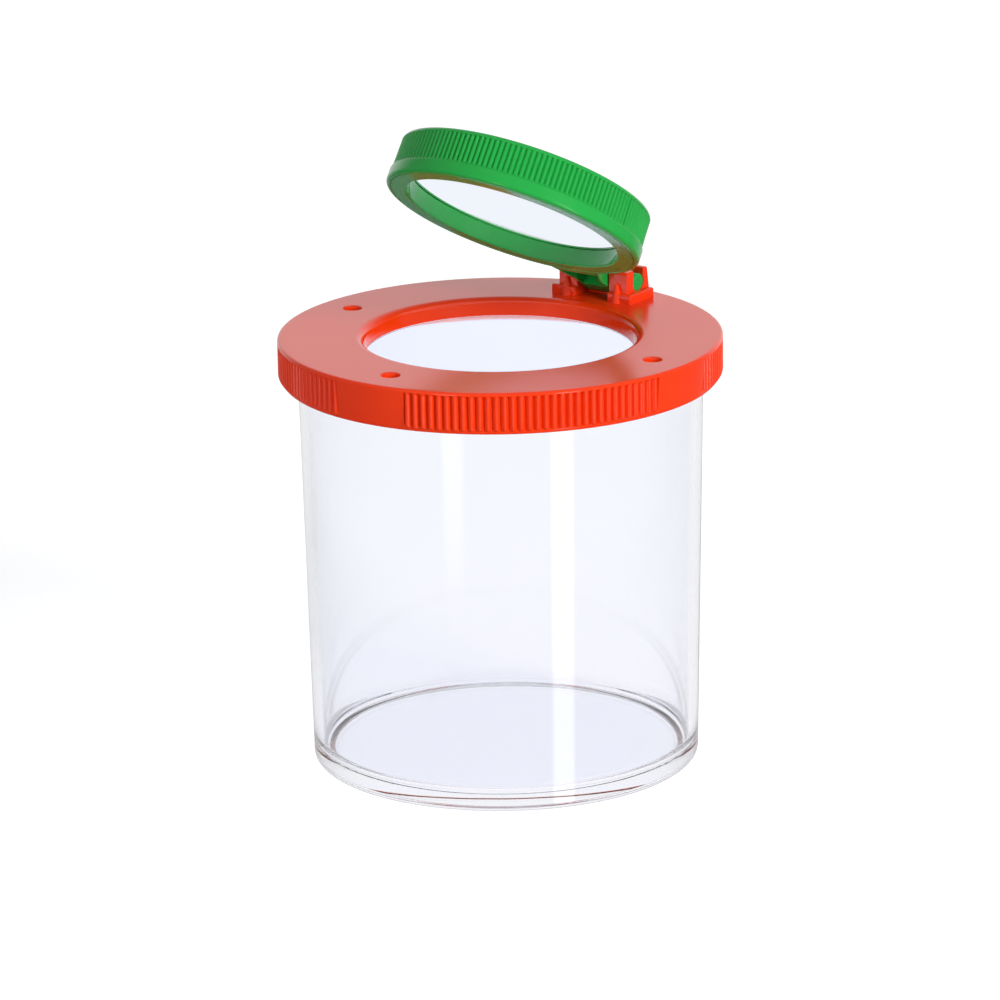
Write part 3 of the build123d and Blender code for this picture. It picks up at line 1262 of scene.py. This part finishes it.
@dataclass(frozen=True)
class PhotoCamera:
    """The photograph's viewpoint, as fitted to the rims of the lid and the cup."""

    lid_top: float
    distance: float = 1111.475
    azimuth: float = 35.7
    elevation: float = 15.14
    yaw: float = -0.025
    pitch: float = -16.681
    roll: float = -0.906
    focal_pixels: float = 6200.0
    frame_pixels: float = 1000.0
    sensor: float = 36.0

    def build(self) -> Object:
        """Places the camera.

        Returns:
            The camera.
        """
        data = bpy.data.cameras.new("photo_camera")
        data.sensor_width = self.sensor
        data.lens = self.focal_pixels / self.frame_pixels * self.sensor
        data.clip_start = 0.01
        data.clip_end = 100.0
        camera = linked("photo_camera", data)
        back = direction(self.azimuth, self.elevation)
        place = Vector((0, 0, self.lid_top)) + back * self.distance
        heading = Matrix.Rotation(math.radians(self.azimuth - self.yaw), 4, "Z")
        tilt = Matrix.Rotation(math.radians(90 + self.pitch), 4, "X")
        turn = Matrix.Rotation(math.radians(self.roll), 4, "Z")
        camera.matrix_world = Matrix.Translation(place * MM) @ heading @ tilt @ turn
        bpy.context.scene.camera = camera
        return camera


def sheet(name: str, corners: Iterable[Sequence[float]], material: Material) -> Object:
    """Makes a flat sheet of the studio.

    Args:
        name: The sheet's name.
        corners: Its four corners, in millimetres.
        material: Its material.

    Returns:
        The sheet.
    """
    mesh = bpy.data.meshes.new(name)
    mesh.from_pydata([Vector(c) * MM for c in corners], [], [(0, 1, 2, 3)])
    mesh.materials.append(material)
    made = linked(name, mesh)
    return made


@dataclass(frozen=True)
class SoftBox:
    """A rectangular soft light, off to one side and aimed at the jar's middle.

    Turn counts in degrees to the right of the camera, and rise above the floor.
    """

    name: str
    turn: float
    rise: float
    width: float
    height: float
    watts: float
    distance: float = 1800.0
    aim_height: float = 60.0

    def build(self, out: Vector) -> Object:
        """Makes the light, which only lights and isn't seen itself.

        Args:
            out: The direction of the light from the jar.

        Returns:
            The light.
        """
        data = bpy.data.lights.new(self.name, "AREA")
        data.shape = "RECTANGLE"
        data.size, data.size_y = self.width * MM, self.height * MM
        data.energy = self.watts
        light = linked(self.name, data)
        light.location = (Vector((0, 0, self.aim_height)) + out * self.distance) * MM
        light.rotation_euler = (-out).to_track_quat("-Z", "Y").to_euler()
        light.visible_camera = light.visible_glossy = light.visible_transmission = False
        return light


@dataclass(frozen=True)
class StripBox:
    """An upright strip light that only glossy surfaces show.

    It reaches below the floor line, as its mirror image in a glossy table does. Spread is how many
    degrees wide it looks, and level its brightness, where 1 is white. It fades over a share of its
    width at each side, and over a share of its height at the lower end.
    """

    name: str
    turn: float
    spread: float
    low: float
    level: float
    side_fade: float
    end_fade: float
    high: float = 330.0
    distance: float = 1500.0

    def surface(self, tree: NodeTree) -> NodeSocket:
        """Fills the node tree.

        Args:
            tree: The material's node tree, empty.

        Returns:
            The shader of the surface.
        """
        add = partial(add_node, tree)
        place = add("ShaderNodeTexCoord").outputs["Generated"]
        across, _, up = add("ShaderNodeSeparateXYZ", (place,)).outputs
        inward = add("ShaderNodeMath", (across, 0.5), operation="PINGPONG").outputs[0]
        limits = ((inward, 0.0, self.side_fade), (up, 0.0, self.end_fade, 0.0, self.level))
        side, end = (
            add("ShaderNodeMapRange", values, interpolation_type="SMOOTHSTEP").outputs[0]
            for values in limits
        )
        both = add("ShaderNodeMath", (side, end), operation="MULTIPLY")
        return add("ShaderNodeEmission", (WHITE, both.outputs[0])).outputs[0]

    def build(self, left: Vector, right: Vector) -> Object:
        """Makes the strip.

        Args:
            left: The direction of its left edge from the jar, level.
            right: The direction of its right edge.

        Returns:
            The strip.
        """
        ends = ((left, self.low), (right, self.low), (right, self.high), (left, self.high))
        corners = [(edge.x * self.distance, edge.y * self.distance, z) for edge, z in ends]
        made = sheet(self.name, corners, new_material(self.name, self.surface))
        made.visible_camera = made.visible_diffuse = made.visible_transmission = False
        made.visible_shadow = False
        return made


@dataclass(frozen=True)
class Studio:
    """A white sweep under soft light: pale floor, even surroundings, two strips in front.

    The floor's lift is light of its own, which keeps it white: as clear plastic shows it, as it is
    seen near the jar, and as it is seen far out. The levels are the backdrop's, where 1 is white.
    """

    azimuth: float
    floor_size: float = 6000.0
    floor_colour: str = "#F3F3F3"
    floor_drop: float = 0.02
    lift_through: float = 0.43
    lift_seen: float = 0.5
    lift_far: float = 0.8
    lift_start: float = 400.0
    lift_end: float = 1000.0
    ambient: float = 0.32
    back_level: float = 1.0
    front_level: float = 0.27
    front_range: tuple[float, float] = (-0.93, -0.5)
    below_share: float = 0.38
    below_range: tuple[float, float] = (-0.55, 0.05)
    through_level: float = 0.86
    through_range: tuple[float, float] = (-0.35, 0.55)
    softboxes: tuple[SoftBox, ...] = (
        SoftBox("key_softbox", turn=45, rise=24, width=700, height=700, watts=30),
        SoftBox("fill_softbox", turn=-40, rise=20, width=700, height=900, watts=7),
    )
    strips: tuple[StripBox, ...] = (
        StripBox("left_strip", turn=-28, spread=17, low=-520, level=1.9, side_fade=0.3, end_fade=0.16),
        StripBox("right_strip", turn=34, spread=16, low=-900, level=2.7, side_fade=0.2, end_fade=0.1),
    )

    def world(self) -> None:
        """Even white light, in which each kind of ray finds its own backdrop.

        Mirrors find it darker towards the camera and below the horizon. Clear plastic finds it a
        little darker towards the camera, and the camera finds it white.
        """
        made = bpy.data.worlds.new("studio")
        bpy.context.scene.world = made
        made.use_nodes = True
        made.node_tree.nodes.clear()
        add = partial(add_node, made.node_tree)
        way = add("ShaderNodeTexCoord").outputs["Generated"]
        ray = add("ShaderNodeLightPath").outputs
        towards = (way, tuple(direction(self.azimuth, 0)))
        front = add("ShaderNodeVectorMath", towards, operation="DOT_PRODUCT").outputs["Value"]
        limits = (
            (*self.front_range, self.back_level, self.front_level),
            (*self.through_range, self.back_level, self.through_level),
        )
        mirrored, through = (
            add("ShaderNodeMapRange", (front, *values), interpolation_type="SMOOTHSTEP").outputs[0]
            for values in limits
        )
        rise = add("ShaderNodeSeparateXYZ", (way,)).outputs["Z"]
        horizon = add("ShaderNodeMapRange", (rise, *self.below_range, self.below_share)).outputs[0]
        around = add("ShaderNodeMath", (mirrored, horizon), operation="MULTIPLY").outputs[0]
        light = add("ShaderNodeBackground", (WHITE, self.ambient)).outputs[0]
        for kind, level in (("Glossy", around), ("Transmission", through), ("Camera", 1.0)):
            found = add("ShaderNodeBackground", (WHITE, level)).outputs[0]
            light = add("ShaderNodeMixShader", (ray[f"Is {kind} Ray"], light, found)).outputs[0]
        add("ShaderNodeOutputWorld", (light,))

    def paper(self, tree: NodeTree) -> NodeSocket:
        """Fills the floor's node tree: white paper that takes a shadow, with a lift of its own.

        Far out, where the softboxes' light fades, it is lifted more, so that no horizon shows.

        Args:
            tree: The material's node tree, empty.

        Returns:
            The shader of the surface.
        """
        add = partial(add_node, tree)
        ray = add("ShaderNodeLightPath").outputs
        through = (ray["Is Transmission Ray"], self.lift_through)
        through = add("ShaderNodeMath", through, operation="MULTIPLY").outputs[0]
        place = add("ShaderNodeNewGeometry").outputs["Position"]
        distance = add("ShaderNodeVectorMath", (place,), operation="LENGTH").outputs["Value"]
        limits = (self.lift_start * MM, self.lift_end * MM, self.lift_seen, self.lift_far)
        seen = add("ShaderNodeMapRange", (distance, *limits), interpolation_type="SMOOTHSTEP")
        lift = (ray["Is Camera Ray"], seen.outputs[0], through)
        lift = add("ShaderNodeMath", lift, operation="MULTIPLY_ADD").outputs[0]
        paper = add("ShaderNodeBsdfDiffuse", (linear(self.floor_colour),)).outputs[0]
        glow = add("ShaderNodeEmission", (WHITE, lift)).outputs[0]
        return add("ShaderNodeAddShader", (paper, glow)).outputs[0]

    def build(self) -> None:
        """Sets the world, the floor and the lights."""
        self.world()
        half, z = self.floor_size / 2, -self.floor_drop
        corners = [(-half, -half, z), (half, -half, z), (half, half, z), (-half, half, z)]
        sheet("sweep", corners, new_material("white_sweep_paper", self.paper)).visible_glossy = False
        for box in self.softboxes:
            box.build(direction(self.azimuth + box.turn, box.rise))
        for strip in self.strips:
            edges = (strip.turn - strip.spread / 2, strip.turn + strip.spread / 2)
            strip.build(*(direction(self.azimuth + edge, 0) for edge in edges))


def main() -> None:
    """Builds the studio and the object's pieces, and reports each piece."""
    logging.basicConfig(level=logging.INFO, format="%(name)s: %(message)s")
    lid_top = 78.7
    hinge = HingeSizes.from_frame()
    open_angle = -math.radians(joint_named("flip_hinge")["range_deg"][0])
    PhotoCamera(lid_top).build()
    Studio(PhotoCamera.azimuth).build()
    finishes = Finishes()
    pieces = [Jar().build(finishes)]
    pieces += Lid(hinge, lid_top).build(finishes)
    pieces += FlipRing(hinge, lid_top, open_angle).build(finishes)
    for piece in pieces:
        mesh = piece.data
        log.info("%s: %d faces of %s", piece.name, len(mesh.polygons), mesh.materials[0].name)
    bpy.context.scene.view_settings.view_transform = "Standard"
    cycles = bpy.context.scene.cycles
    cycles.transparent_max_bounces = cycles.transmission_bounces = LIGHT_BOUNCES
    cycles.glossy_bounces = cycles.max_bounces = LIGHT_BOUNCES


if __name__ == "__main__":
    main()
